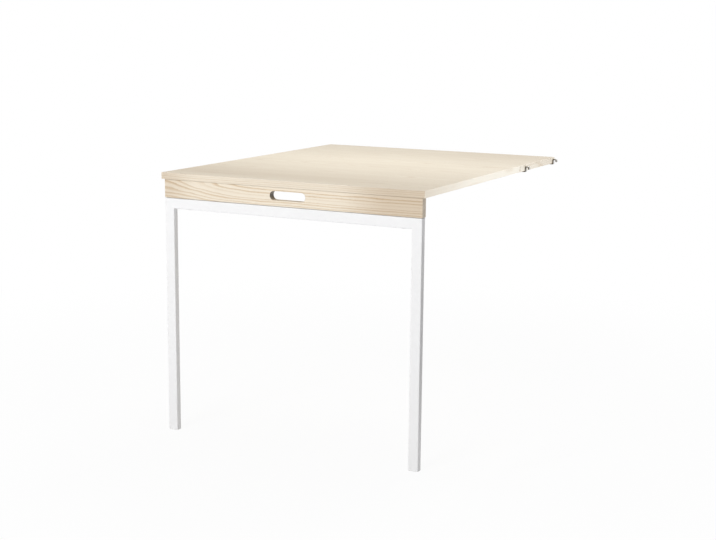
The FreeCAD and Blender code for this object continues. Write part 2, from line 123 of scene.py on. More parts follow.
class AshFinish(PropertyGroup):
    """Colours and growth of the lacquered ash."""
    latewood: colour_setting("Latewood", "Dense pale part of each growth ring", (0.82, 0.75, 0.635))
    veneer_latewood: colour_setting(
        "Veneer latewood", "Dense pale part of the veneer's rings", (0.81, 0.74, 0.595))
    earlywood: colour_setting("Earlywood", "Open darker part of each growth ring", (0.66, 0.53, 0.375))
    lacquer_roughness: share_setting("Lacquer roughness", "Roughness of the clear matt lacquer", 0.42)
    veneer_width: length_setting("Veneer leaf width", "Width of the veneer leaves laid side by side", 0.165)
    veneer_rings: length_setting("Veneer rings", "Thickness of a year's growth in the veneer", 0.0048)
    apron_rings: length_setting("Apron rings", "Thickness of a year's growth in the apron", 0.0072)
    strip_rings: length_setting("Strip rings", "Thickness of a year's growth in the edge strips", 0.0042)
    dowel_rings: length_setting("Dowel rings", "Thickness of a year's growth in the dowels", 0.003)


class PaintFinish(PropertyGroup):
    """Powder coat and plastic of the leg frame."""
    white: colour_setting("Powder coat", "Colour of the leg frame", (0.85, 0.85, 0.855))
    paint_roughness: share_setting("Paint roughness", "Roughness of the powder coat", 0.38)
    foot_white: colour_setting("Foot plastic", "Colour of the plugs in the legs", (0.83, 0.83, 0.825))
    buffer_grey: colour_setting("Buffer rubber", "Colour of the pads under the apron", (0.42, 0.42, 0.41))
    washer_black: colour_setting("Washer nylon", "Colour of the friction washers", (0.03, 0.03, 0.032))
    nut_ring: colour_setting("Nut ring nylon", "Colour of the locking ring in each nut", (0.62, 0.66, 0.72))


class SteelFinish(PropertyGroup):
    """Bare and plated steel of the fittings."""
    hook_steel: colour_setting("Hook steel", "Colour of the bent steel hooks", (0.50, 0.485, 0.46))
    hook_stain: colour_setting("Hook stain", "Colour of the clouds on the hooks", (0.40, 0.385, 0.36))
    hook_cut: colour_setting("Hook cut edges", "Colour of the hooks' sheared edges", (0.15, 0.125, 0.095))
    hook_roughness: share_setting("Hook roughness", "Roughness of the bent hooks", 0.38)
    zinc: colour_setting("Zinc plate", "Colour of hinges, brackets, screws and bolts", (0.66, 0.67, 0.68))
    zinc_stain: colour_setting("Zinc stain", "Colour of the clouds on the zinc plate", (0.6, 0.615, 0.64))
    zinc_roughness: share_setting("Zinc roughness", "Roughness of the zinc plate", 0.32)


class FittingShape(PropertyGroup):
    """Welds of the pivot ears, friction washers, and lock nuts on the pivot bolts."""
    bead_radius: length_setting("Bead radius", "Size of the welds that hold the ears", 0.0022)
    ear_root: length_setting("Ear root", "Height of an ear where it meets the crossbar", 0.022)
    ripple_pitch: length_setting("Ripple pitch", "Distance between the ripples of a bead", 0.0012)
    ripple_share: share_setting("Ripple height", "Ripple height as a share of the bead's radius", 0.06)
    web_metal: length_setting("Web metal", "Thickness of a fold bracket's web", 0.003)
    washer_thickness: length_setting("Washer thickness", "Thickness of a friction washer", 0.001)
    washer_ease: length_setting("Washer ease", "Chamfer round a friction washer", 0.00015)
    washer_play: length_setting("Washer play", "Room at each face of a friction washer", 0.00002)
    bolt_radius: length_setting("Bolt radius", "Radius of the bolt in a nut or washer", 0.003)
    nut_flats: length_setting("Nut flats", "Width of a lock nut across its flats", 0.010)
    nut_collar: length_setting("Nut collar", "Outer radius of a lock nut's round collar", 0.0043)
    nut_lip: length_setting("Nut lip", "Thickness of the collar round the nylon ring", 0.0011)
    nut_hexagon: share_setting("Nut hexagon", "Share of a nut's height that is a hexagon", 0.66)


class StudioSettings(PropertyGroup):
    """Floor, lamps and camera."""
    floor_colour: colour_setting("Floor", "Colour of the studio floor", (0.86, 0.86, 0.86))
    floor_size: length_setting("Floor size", "Side of the square floor", 24.0)
    glow_near: share_setting("Floor whiteness", "Share of plain white in the floor near the table", 0.93)
    camera_place: FloatVectorProperty(
        name="Camera place", description="Where the camera stands", subtype="TRANSLATION", unit="LENGTH",
        default=(1.72929, -3.45167, 1.13578))
    camera_turn: angle_setting("Camera turn", "Turn of the view to the left of the wall's direction", 0.473)
    camera_dip: angle_setting("Camera dip", "Dip of the view below level", 0.186)
    camera_roll: angle_setting("Camera roll", "Roll about the line of sight", 0.009)
    focal_length: FloatProperty(
        name="Focal length", description="Focal length on a 36 mm wide sensor", default=67.587,
        unit="CAMERA")
    room_level: FloatProperty(
        name="Room level", description="Strength of the light from all round", default=0.5, min=0.0)
    key_watts: power_setting("Key lamp", "Power of the soft box in front", 114.0)
    rear_watts: power_setting("Rear lamp", "Power of the soft box behind and above", 110.0)
    top_watts: power_setting("Top lamp", "Power of the small lamp above the top", 0.50)
    top_spread: angle_setting("Top lamp spread", "Spread of the small lamp above the top", math.radians(70))
    edge_watts: power_setting("Edge lamp", "Power of the lamp for the right-hand edge", 93.0)
    edge_colour: colour_setting("Edge lamp colour", "Colour of the lamp for the edge", (0.84, 0.91, 1.0))


SETTINGS = {
    "table_ash": AshFinish,
    "table_paint": PaintFinish,
    "table_steel": SteelFinish,
    "table_fittings": FittingShape,
    "table_studio": StudioSettings,
}


# Shader nodes

def feed(tree, socket, value):
    """Links a socket to another's output, or gives it a plain value."""
    if isinstance(value, bpy.types.NodeSocket):
        tree.links.new(value, socket)
    else:
        socket.default_value = value


def add(tree, kind, inputs=None, **settings):
    """A new shader node with its own settings and its inputs, by name or number."""
    made = tree.nodes.new("ShaderNode" + kind)
    for name, value in settings.items():
        setattr(made, name, value)
    for key, value in (inputs or {}).items():
        feed(tree, made.inputs[key], value)
    return made


def maths(tree, operation, *values):
    """The result of a Math node."""
    return add(tree, "Math", dict(enumerate(values)), operation=operation).outputs[0]


def summed(tree, first, *others):
    """The sum of several values."""
    for value in others:
        first = maths(tree, "ADD", first, value)
    return first


def mapped(tree, value, low, high, to_low=0.0, to_high=1.0, smooth=False):
    """A value carried from one range to another, held at both ends."""
    inputs = {"Value": value, "From Min": low, "From Max": high, "To Min": to_low, "To Max": to_high}
    kind = "SMOOTHSTEP" if smooth else "LINEAR"
    return add(tree, "MapRange", inputs, interpolation_type=kind).outputs["Result"]


def mixed(tree, factor, first, second, how="MIX"):
    """Two colours mixed by a factor."""
    inputs = {"Factor": factor, 6: first, 7: second}
    return add(tree, "Mix", inputs, data_type="RGBA", blend_type=how).outputs[2]


def solid(rgb):
    """An opaque colour from three values."""
    return (*rgb, 1.0)


def vector_of(tree, x, y, z):
    """A vector from three values."""
    return add(tree, "CombineXYZ", {0: x, 1: y, 2: z}).outputs[0]


def scaled(tree, vector, factors):
    """A vector multiplied axis by axis."""
    return add(tree, "VectorMath", {0: vector, 1: factors}, operation="MULTIPLY").outputs[0]


def tinted(tree, colour, red, green, blue):
    """A colour multiplied by a share of its own for each of red, green and blue."""
    return mixed(tree, 1.0, colour, vector_of(tree, red, green, blue), "MULTIPLY")


def noise_line(tree, along, scale, detail=1.0):
    """Noise that changes along one value only."""
    inputs = {"W": along, "Scale": scale, "Detail": detail}
    return add(tree, "TexNoise", inputs, noise_dimensions="1D").outputs[0]


def noise_in(tree, vector, detail=2.0, roughness=0.5):
    """Noise in space, at the scale that the vector already has."""
    inputs = {"Vector": vector, "Scale": 1.0, "Detail": detail, "Roughness": roughness}
    return add(tree, "TexNoise", inputs, noise_dimensions="3D").outputs[0]


def chance(tree, number):
    """Value and colour that a number gets by chance, as a node's outputs."""
    return add(tree, "TexWhiteNoise", {"W": number}, noise_dimensions="1D").outputs


def swing(tree, noise, width):
    """Noise turned into a swing to both sides of nothing, of the given full width."""
    return maths(tree, "MULTIPLY", maths(tree, "SUBTRACT", noise, 0.5), width)


def swayed(tree, value, noise, width):
    """A value that noise moves to both sides, by the given full width."""
    return maths(tree, "MULTIPLY_ADD", maths(tree, "SUBTRACT", noise, 0.5), width, value)


def place(tree):
    """Position on the table, whole and split into X, Y and Z."""
    coordinates = add(tree, "TexCoord").outputs["Object"]
    return coordinates, add(tree, "SeparateXYZ", {0: coordinates}).outputs


def facing(tree, axis):
    """One on faces that look along an axis, and nothing on those that stand square to it."""
    normal = add(tree, "TexCoord").outputs["Normal"]
    return maths(tree, "ABSOLUTE", add(tree, "SeparateXYZ", {0: normal}).outputs[axis])


def new_group(name, inputs, outputs):
    """A shader node group with named sockets, and its own inputs and outputs."""
    group = bpy.data.node_groups.new(name, "ShaderNodeTree")
    for label, kind, default in inputs:
        made = group.interface.new_socket(label, in_out="INPUT", socket_type="NodeSocket" + kind)
        made.default_value = default
    for label, kind in outputs:
        group.interface.new_socket(label, in_out="OUTPUT", socket_type="NodeSocket" + kind)
    entry = group.nodes.new("NodeGroupInput")
    result = group.nodes.new("NodeGroupOutput")
    return group, entry.outputs, result.inputs


def group_node(tree, name, inputs):
    """The outputs of a group placed in a material with its own values."""
    made = tree.nodes.new("ShaderNodeGroup")
    made.node_tree = bpy.data.node_groups[name]
    for label, value in inputs.items():
        feed(tree, made.inputs[label], value)
    return made.outputs


def new_material(name):
    """An empty material with a Principled BSDF joined to its output."""
    material = bpy.data.materials.new(name)
    material.use_nodes = True
    tree = material.node_tree
    tree.nodes.clear()
    shader = tree.nodes.new("ShaderNodeBsdfPrincipled")
    output = tree.nodes.new("ShaderNodeOutputMaterial")
    tree.links.new(shader.outputs[0], output.inputs["Surface"])
    return material, tree, shader


def surface(tree, shader, colour, roughness, height, relief, strength):
    """Gives a shader its colour, its roughness and the bumps of a relief of some depth."""
    bump = add(tree, "Bump", {"Height": height, "Distance": relief, "Strength": strength})
    feed(tree, shader.inputs["Base Color"], colour)
    feed(tree, shader.inputs["Roughness"], roughness)
    feed(tree, shader.inputs["Normal"], bump.outputs[0])


# Groups that several finishes share

RING_INPUTS = [
    ("Along", "Float", 0.0), ("Across", "Float", 0.0), ("Depth", "Float", 0.05),
    ("Spacing", "Float", 0.004), ("Wander", "Float", 0.01), ("Seed", "Float", 0.0),
]
FIBRE_INPUTS = [("Along", "Float", 0.0), ("Across", "Float", 0.0), ("Depth", "Float", 0.0)]


def make_ring_group():
    """Growth rings round a pith line that runs along the grain and wanders a little."""
    rise_scale, sway_scale, sway_apart = 2.3, 1.6, 7.7
    wobble_scales, wobble_years = (9.0, 55.0, 55.0), 0.9
    uneven_scale, uneven_years = 0.37, 1.7
    early_full, early_fades, early_ends = 0.10, 0.16, 0.62

    outputs = [("Earlywood", "Float"), ("Ring tone", "Float")]
    tree, give, take = new_group("Growth rings", RING_INPUTS, outputs)
    line = maths(tree, "ADD", give["Along"], give["Seed"])
    rise = noise_line(tree, line, rise_scale, detail=2.0)
    sway = noise_line(tree, maths(tree, "ADD", line, sway_apart), sway_scale, detail=2.0)
    depth = swayed(tree, give["Depth"], rise, give["Wander"])
    across = swayed(tree, give["Across"], sway, give["Wander"])
    radius = maths(tree, "SQRT", maths(tree, "MULTIPLY_ADD", depth, depth,
                                       maths(tree, "MULTIPLY", across, across)))
    spot = scaled(tree, vector_of(tree, line, give["Across"], give["Depth"]), wobble_scales)
    wobble = swing(tree, noise_in(tree, spot), wobble_years)
    years = maths(tree, "ADD", maths(tree, "DIVIDE", radius, give["Spacing"]), wobble)
    uneven = noise_line(tree, maths(tree, "ADD", years, give["Seed"]), uneven_scale)
    years = swayed(tree, years, uneven, uneven_years)
    phase = maths(tree, "FRACT", years)
    starts = mapped(tree, phase, 0.0, early_full, smooth=True)
    fades = mapped(tree, phase, early_fades, early_ends, 1.0, 0.0, smooth=True)
    feed(tree, take["Earlywood"], maths(tree, "MULTIPLY", starts, fades))
    feed(tree, take["Ring tone"], chance(tree, maths(tree, "FLOOR", years))["Value"])


def make_fibre_group():
    """Fine streaks along the grain and the short dark pores of the earlywood."""
    fine_scales, fine_share = (14.0, 900.0, 900.0), 0.6
    broad_scales, broad_share = (4.0, 160.0, 160.0), 0.4
    pore_scales, pore_starts, pore_full = (130.0, 2900.0, 2900.0), 0.57, 0.66

    tree, give, take = new_group("Fibres and pores", FIBRE_INPUTS, [("Fibre", "Float"), ("Pores", "Float")])
    grain = vector_of(tree, give["Along"], give["Across"], give["Depth"])
    fine = noise_in(tree, scaled(tree, grain, fine_scales), detail=3.0, roughness=0.6)
    broad = noise_in(tree, scaled(tree, grain, broad_scales))
    dashes = noise_in(tree, scaled(tree, grain, pore_scales), detail=1.0)
    fibre = maths(tree, "MULTIPLY_ADD", fine, fine_share, maths(tree, "MULTIPLY", broad, broad_share))
    feed(tree, take["Fibre"], fibre)
    feed(tree, take["Pores"], mapped(tree, dashes, pore_starts, pore_full, smooth=True))


def make_ash_group():
    """Ash under clear lacquer: colour, roughness and height from rings, fibres and pores."""
    faintest_ring = 0.35
    streak_low, streak_high, streak = 0.25, 0.75, 0.16
    latewood_pores, pores_full, pore_depth = 0.12, 0.7, 0.55
    pore_colour = (0.42, 0.30, 0.19)
    dark_tone, full_tone = (0.74, 0.67, 0.60), 1.06
    pore_roughness, pore_height, early_height, fibre_height = 0.18, -1.0, -0.25, 0.3

    inputs = RING_INPUTS + [
        ("Latewood", "Color", solid((0.8, 0.7, 0.6))), ("Earlywood", "Color", solid((0.6, 0.5, 0.4))),
        ("Figure", "Float", 0.6), ("Tone", "Float", 0.7), ("Shade", "Float", 1.0),
        ("Roughness", "Float", 0.4),
    ]
    outputs = [("Color", "Color"), ("Roughness", "Float"), ("Height", "Float")]
    tree, give, take = new_group("Lacquered ash", inputs, outputs)
    rings = group_node(tree, "Growth rings", {label: give[label] for label, _, _ in RING_INPUTS})
    fibres = group_node(tree, "Fibres and pores", {label: give[label] for label, _, _ in FIBRE_INPUTS})
    ring_depth = mapped(tree, rings["Ring tone"], 0.0, 1.0, faintest_ring, 1.0)
    early = maths(tree, "MULTIPLY", rings["Earlywood"], ring_depth)
    figure = maths(tree, "MULTIPLY", early, give["Figure"])
    streaks = mapped(tree, fibres["Fibre"], streak_low, streak_high, -streak, streak)
    share = maths(tree, "ADD", figure, maths(tree, "MULTIPLY", streaks, give["Figure"]))
    colour = mixed(tree, mapped(tree, share, 0.0, 1.0), give["Latewood"], give["Earlywood"])
    in_early = mapped(tree, early, 0.0, pores_full, latewood_pores, 1.0)
    pores = maths(tree, "MULTIPLY", fibres["Pores"], in_early)
    dark_pores = maths(tree, "MULTIPLY", maths(tree, "MULTIPLY", pores, give["Figure"]), pore_depth)
    colour = mixed(tree, dark_pores, colour, solid(pore_colour))
    # Tone carries the wood's own tone and, on the top and the side strips, painted shade.
    tones = [mapped(tree, give["Tone"], 0.0, 1.0, dark, full_tone) for dark in dark_tone]
    colour = tinted(tree, colour, *tones)
    # Shade darkens the colour: painted shade inside the apron's slot, a plain darker tint on the cross
    # strips.
    colour = tinted(tree, colour, give["Shade"], give["Shade"], give["Shade"])
    feed(tree, take["Color"], colour)
    feed(tree, take["Roughness"], maths(tree, "MULTIPLY_ADD", pores, pore_roughness, give["Roughness"]))
    sunk = maths(tree, "MULTIPLY_ADD", pores, pore_height, maths(tree, "MULTIPLY", early, early_height))
    feed(tree, take["Height"], maths(tree, "MULTIPLY_ADD", fibres["Fibre"], fibre_height, sunk))


def make_orange_peel_group():
    """The soft waves and fine speckle of a sprayed or moulded surface."""
    speckle_scales, speckle_height, speckle_roughness = (6.0, 6.0, 6.0), 0.25, 0.08
    cloud_scales, cloud_roughness = (11.0, 11.0, 11.0), 0.16

    inputs = [
        ("Vector", "Vector", (0.0, 0.0, 0.0)), ("Wave size", "Float", 0.002), ("Roughness", "Float", 0.4),
    ]
    tree, give, take = new_group("Orange peel", inputs, [("Height", "Float"), ("Roughness", "Float")])
    per_metre = maths(tree, "DIVIDE", 1.0, give["Wave size"])
    waves = scaled(tree, give["Vector"], vector_of(tree, per_metre, per_metre, per_metre))
    soft = noise_in(tree, waves, detail=1.0)
    speckle = noise_in(tree, scaled(tree, waves, speckle_scales), detail=1.0)
    cloud = noise_in(tree, scaled(tree, give["Vector"], cloud_scales))
    feed(tree, take["Height"], maths(tree, "MULTIPLY_ADD", speckle, speckle_height, soft))
    clouded = swayed(tree, give["Roughness"], cloud, cloud_roughness)
    feed(tree, take["Roughness"], swayed(tree, clouded, speckle, speckle_roughness))


def make_metal_group():
    """Drawing lines and cloudy stains of plain or plated steel."""
    cloud_scales, stain_starts, stain_full = (130.0, 130.0, 130.0), 0.42, 0.72
    cloud_roughness, line_roughness = 0.16, 0.18

    inputs = [
        ("Vector", "Vector", (0.0, 0.0, 0.0)), ("Line stretch", "Vector", (40.0, 2600.0, 2600.0)),
        ("Color", "Color", solid((0.6, 0.6, 0.6))), ("Stain", "Color", solid((0.4, 0.4, 0.4))),
        ("Roughness", "Float", 0.35),
    ]
    outputs = [("Color", "Color"), ("Roughness", "Float"), ("Height", "Float")]
    tree, give, take = new_group("Drawn steel", inputs, outputs)
    drawn = scaled(tree, give["Vector"], give["Line stretch"])
    lines = noise_in(tree, drawn, detail=3.0, roughness=0.6)
    cloud = noise_in(tree, scaled(tree, give["Vector"], cloud_scales), detail=3.0)
    stained = mapped(tree, cloud, stain_starts, stain_full, smooth=True)
    feed(tree, take["Color"], mixed(tree, stained, give["Color"], give["Stain"]))
    clouded = swayed(tree, give["Roughness"], cloud, cloud_roughness)
    feed(tree, take["Roughness"], swayed(tree, clouded, lines, line_roughness))
    feed(tree, take["Height"], lines)


# Wood: how its tone, its painted shade and its grain change from place to place

class Fade(NamedTuple):
    """A value that changes between two places on an axis."""
    axis: str
    start: float
    end: float
    before: float
    after: float
    smooth: bool = True


# Painted shade on the top: darker at the front, lightest in the middle and darker again to the rear, as light
# falls.
# The painted shade is deeper at the front left. A lighter rim runs along the front, and the right rear is
# darker.
TOP_FRONT = Fade("Y", FRONT_Y + 0.075, FRONT_Y + 0.28, 0.22, 0.53)
TOP_MIDDLE = Fade("Y", FRONT_Y + 0.24, SEAM_Y - 0.13, 0.0, 0.12)
TOP_REAR = Fade("Y", SEAM_Y - 0.08, SEAM_Y + 0.26, 0.0, -0.25, smooth=False)
RIM = Fade("Y", FRONT_Y + 0.02, FRONT_Y + 0.07, 0.25, 0.0)
RIM_LENGTH = Fade("X", 0.02, 0.34, 1.0, 0.1)
CORNER_WIDTH = Fade("X", -0.05, 0.30, 0.0, 1.0)
CORNER_DEPTH = Fade("Y", SEAM_Y - 0.06, SEAM_Y + 0.18, 0.0, -0.15)
FRONT_LEFT_SHADE_WIDTH = Fade("X", -0.36, -0.05, -0.1, 0.0)
FRONT_LEFT_SHADE_DEPTH = Fade("Y", FRONT_Y + 0.14, FRONT_Y + 0.36, 1.0, 0.0)

APRON_LEFT_END = Fade("X", APRON_LOW.x, APRON_LOW.x + 0.11, -0.4, 0.0)
APRON_RIGHT_END = Fade("X", 0.12, 0.30, 0.0, -0.66)
APRON_DEPTH = Fade("Y", APRON_HIGH.y, APRON_HIGH.y + 0.05, 1.0, 0.0, smooth=False)
APRON_BEND = Fade("X", APRON_LOW.x - 0.03, APRON_LOW.x + 0.3025, 0.034, 0.0)

# Painted shade on the side strips: darker towards the front end and towards the rear.
SIDE_FRONT = Fade("Y", FRONT_Y, FRONT_Y + 0.33, 0.38, 1.06, smooth=False)
SIDE_REAR = Fade("Y", SEAM_Y - 0.05, SEAM_Y + 0.18, 0.0, -0.6, smooth=False)

STRIP_SHADE = 0.965


def faded(tree, xyz, *fades):
    """The product of one or more fades at a place."""
    result = None
    for fade in fades:
        value = mapped(tree, xyz[fade.axis], fade.start, fade.end, fade.before, fade.after, fade.smooth)
        result = value if result is None else maths(tree, "MULTIPLY", result, value)
    return result


def veneer_leaf(tree, y, width):
    """Number of the veneer leaf at a place, and the place across that leaf from its middle."""
    steps = maths(tree, "DIVIDE", maths(tree, "SUBTRACT", y, SEAM_Y), width)
    return maths(tree, "FLOOR", steps), swing(tree, maths(tree, "FRACT", steps), width)


def veneer_tone_and_painted_shade(tree, xyz, cloud, width):
    """Tone of the top, with painted shade at front and rear, a bright front rim and leaves that differ."""
    clouds, leaf_by_leaf = 0.35, 0.1
    number, _ = veneer_leaf(tree, xyz["Y"], width)
    own = chance(tree, maths(tree, "ADD", number, 0.5))["Value"]
    return summed(
        tree, faded(tree, xyz, TOP_FRONT), faded(tree, xyz, TOP_MIDDLE), faded(tree, xyz, TOP_REAR),
        faded(tree, xyz, RIM, RIM_LENGTH), faded(tree, xyz, CORNER_WIDTH, CORNER_DEPTH),
        faded(tree, xyz, FRONT_LEFT_SHADE_WIDTH, FRONT_LEFT_SHADE_DEPTH),
        swing(tree, cloud, clouds), swing(tree, own, leaf_by_leaf))


def front_tone(tree, xyz, cloud):
    """Tone of the apron and the strips beside it, browner at both ends and on the end grain."""
    clouds, plain, end_grain = 0.25, 0.78, 0.62
    ends = maths(tree, "ADD", faded(tree, xyz, APRON_LEFT_END), faded(tree, xyz, APRON_RIGHT_END))
    ends = maths(tree, "MULTIPLY", ends, faded(tree, xyz, APRON_DEPTH))
    face = summed(tree, ends, plain, swing(tree, cloud, clouds))
    change = maths(tree, "SUBTRACT", end_grain, face)
    return maths(tree, "MULTIPLY_ADD", facing(tree, "X"), change, face)


def side_tone_and_painted_shade(tree, xyz, cloud):
    """Tone of the side strips, with painted shade that makes them browner at the front and at the rear."""
    clouds = 0.2
    return summed(tree, faded(tree, xyz, SIDE_FRONT), faded(tree, xyz, SIDE_REAR), swing(tree, cloud, clouds))


def painted_slot_shade(tree, xyz):
    """Painted shade in the apron: the round ends inside its slot darker, as shadow in the recess."""
    half_slot, clear, soft, darker = 0.0525, 0.001, 0.0035, -0.8
    away = maths(tree, "ABSOLUTE", xyz["X"])
    ends = mapped(tree, away, half_slot + clear, half_slot + soft, darker, 0.0)
    return maths(tree, "MULTIPLY_ADD", ends, facing(tree, "X"), 1.0)


# Wood: place along the grain, across it and from the pith

def veneer_grain(tree, xyz, width):
    """Each leaf of veneer is cut from a place of its own in the log."""
    longest_shift, off_centre, slant, pith_depth = 3.1, 0.05, 0.12, 0.055
    number, across = veneer_leaf(tree, xyz["Y"], width)
    own = chance(tree, number)
    along = maths(tree, "MULTIPLY_ADD", own["Value"], longest_shift, xyz["X"])
    split = add(tree, "SeparateXYZ", {0: own["Color"]}).outputs
    across = swayed(tree, across, split["Y"], off_centre)
    slope = maths(tree, "MULTIPLY", xyz["X"], maths(tree, "SUBTRACT", split["Z"], 0.5))
    return along, across, maths(tree, "MULTIPLY_ADD", slope, slant, pith_depth)


def apron_grain(tree, xyz):
    """The pith runs just before and above the apron, and bends away towards the left end."""
    pith_before, pith_above = 0.010, 0.004
    before = maths(tree, "SUBTRACT", xyz["Y"], APRON_LOW.y - pith_before)
    depth = maths(tree, "ADD", before, faded(tree, xyz, APRON_BEND))
    return xyz["X"], maths(tree, "SUBTRACT", xyz["Z"], APRON_HIGH.z + pith_above), depth


def above_strip(tree, xyz):
    """Place across the grain of an edge strip, whose pith lies above the boards."""
    pith_above = 0.03
    return maths(tree, "SUBTRACT", xyz["Z"], LEAF_HIGH.z + pith_above)


def strip_grain(tree, xyz):
    """Grain across the table."""
    pith_before = 0.02
    return xyz["X"], above_strip(tree, xyz), maths(tree, "SUBTRACT", xyz["Y"], FRONT_Y - pith_before)


def side_strip_grain(tree, xyz):
    """Grain towards the wall."""
    pith_left = 0.05
    return xyz["Y"], above_strip(tree, xyz), maths(tree, "ADD", xyz["X"], pith_left)


# Finishes

def ash_material(name, finish, pale, grain, tone, shade=1.0, *, figure, spacing, wander, seed):
    """Lacquered ash. Grain and tone are worked out from the place, and so may the shade be."""
    cloud_scales, relief, relief_strength, gloss = (2.6, 5.5, 9.0), 0.00012, 0.5, 0.4
    material, tree, shader = new_material(name)
    coordinates, xyz = place(tree)
    along, across, depth = grain(tree, xyz)
    cloud = noise_in(tree, scaled(tree, coordinates, cloud_scales))
    values = {
        "Along": along, "Across": across, "Depth": depth, "Spacing": spacing, "Wander": wander,
        "Seed": seed, "Latewood": solid(pale), "Earlywood": solid(finish.earlywood), "Figure": figure,
        "Tone": tone(tree, xyz, cloud), "Shade": shade(tree, xyz) if callable(shade) else shade,
        "Roughness": finish.lacquer_roughness,
    }
    ash = group_node(tree, "Lacquered ash", values)
    surface(tree, shader, ash["Color"], ash["Roughness"], ash["Height"], relief, relief_strength)
    shader.inputs["Specular IOR Level"].default_value = gloss
    return material


def veneer_material(ash):
    """Wide leaves of quiet veneer on both boards."""
    return ash_material(
        "ash_veneer", ash, ash.veneer_latewood, partial(veneer_grain, width=ash.veneer_width),
        partial(veneer_tone_and_painted_shade, width=ash.veneer_width),
        figure=0.42, spacing=ash.veneer_rings, wander=0.03, seed=1.3)


def apron_material(ash):
    """Solid ash with wide, strong rings."""
    return ash_material(
        "ash_solid", ash, ash.latewood, apron_grain, front_tone, painted_slot_shade,
        figure=1.0, spacing=ash.apron_rings, wander=0.004, seed=4.1)


def edge_material(ash):
    """Solid ash of the strips that run across the table."""
    return ash_material(
        "ash_edge", ash, ash.latewood, strip_grain, front_tone, STRIP_SHADE,
        figure=0.6, spacing=ash.strip_rings, wander=0.012, seed=2.2)


def side_edge_material(ash):
    """Solid ash of the strips that run towards the wall."""
    return ash_material(
        "ash_side_edge", ash, ash.latewood, side_strip_grain, side_tone_and_painted_shade,
        figure=0.45, spacing=ash.strip_rings, wander=0.012, seed=9.4)


def dowel_material(ash):
    """Plain straight-grained dowels."""
    return ash_material(
        "beech_dowel", ash, ash.latewood, strip_grain, side_tone_and_painted_shade,
        figure=1.0, spacing=ash.dowel_rings, wander=0.002, seed=6.0)


def painted_material(name, colour, roughness, wave, depth):
    """A sprayed or moulded surface of one colour, with waves of a given size and depth."""
    cloud_scales, cloud_low, cloud_high = (7.0, 7.0, 7.0), 0.3, 0.7
    faintest, relief_strength = 0.985, 0.4
    material, tree, shader = new_material(name)
    coordinates, _ = place(tree)
    peel = group_node(tree, "Orange peel", {"Vector": coordinates, "Wave size": wave, "Roughness": roughness})
    cloud = noise_in(tree, scaled(tree, coordinates, cloud_scales))
    faint = mapped(tree, cloud, cloud_low, cloud_high, faintest, 1.0)
    tint = tinted(tree, solid(colour), faint, faint, faint)
    surface(tree, shader, tint, peel["Roughness"], peel["Height"], depth, relief_strength)
    return material


def steel_material(name, colour, stain, roughness, stretch, cut=None):
    """Plain or plated steel with its drawing lines along the given stretch.

    Faces that look along Y are the cut edges of a bent strip, and may have a colour of their own.
    """
    cut_starts, cut_full, relief, relief_strength = 0.6, 0.95, 0.00002, 0.4
    material, tree, shader = new_material(name)
    coordinates, _ = place(tree)
    values = {"Vector": coordinates, "Line stretch": stretch, "Color": solid(colour),
              "Stain": solid(stain), "Roughness": roughness}
    steel = group_node(tree, "Drawn steel", values)
    colour = steel["Color"]
    if cut:
        edge = mapped(tree, facing(tree, "Y"), cut_starts, cut_full, smooth=True)
        colour = mixed(tree, edge, colour, solid(cut))
    surface(tree, shader, colour, steel["Roughness"], steel["Height"], relief, relief_strength)
    shader.inputs["Metallic"].default_value = 1.0
    return material


def material_named(name):
    """A finish that an earlier step has made."""
    found = bpy.data.materials.get(name)
    if found is None:
        raise RuntimeError(f"make the finish {name} first")
    return found


def dress(material, *names):
    """Gives pieces of the model a finish in place of their plain colour."""
    for name in names:
        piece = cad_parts[name]
        piece.data.materials.clear()
        piece.data.materials.append(material)


# Meshes

def finished(bm, name, body, slot, finish=None):
    """Turns a bmesh into a piece that rides on a body, in its slot's finish or in one of its own."""
    bmesh.ops.recalc_face_normals(bm, faces=bm.faces)
    mesh = bpy.data.meshes.new(name)
    bm.to_mesh(mesh)
    bm.free()
    for polygon in mesh.polygons:
        polygon.use_smooth = True
    mesh.materials.append(material_named(finish or slot))
    piece = bpy.data.objects.new(name, mesh)
    bpy.context.scene.collection.objects.link(piece)
    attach(piece, body)
    return piece


def joined(shapes):
    """Several closed shapes as one bmesh."""
    whole = bmesh.new()
    for shape in shapes:
        mesh = bpy.data.meshes.new("part")
        shape.to_mesh(mesh)
        shape.free()
        whole.from_mesh(mesh)
        bpy.data.meshes.remove(mesh)
    return whole


def lathe(outline, centre, steps):
    """Turns a closed outline of (X, radius) pairs about a line along X through a centre."""
    bm = bmesh.new()
    corners = [bm.verts.new((x, centre.y, centre.z + radius)) for x, radius in outline]
    sides = [bm.edges.new(pair) for pair in zip(corners, corners[1:] + corners[:1])]
    bmesh.ops.spin(bm, geom=corners + sides, cent=centre, axis=(1.0, 0.0, 0.0), angle=math.tau,
                   steps=steps, use_merge=True)
    return bm


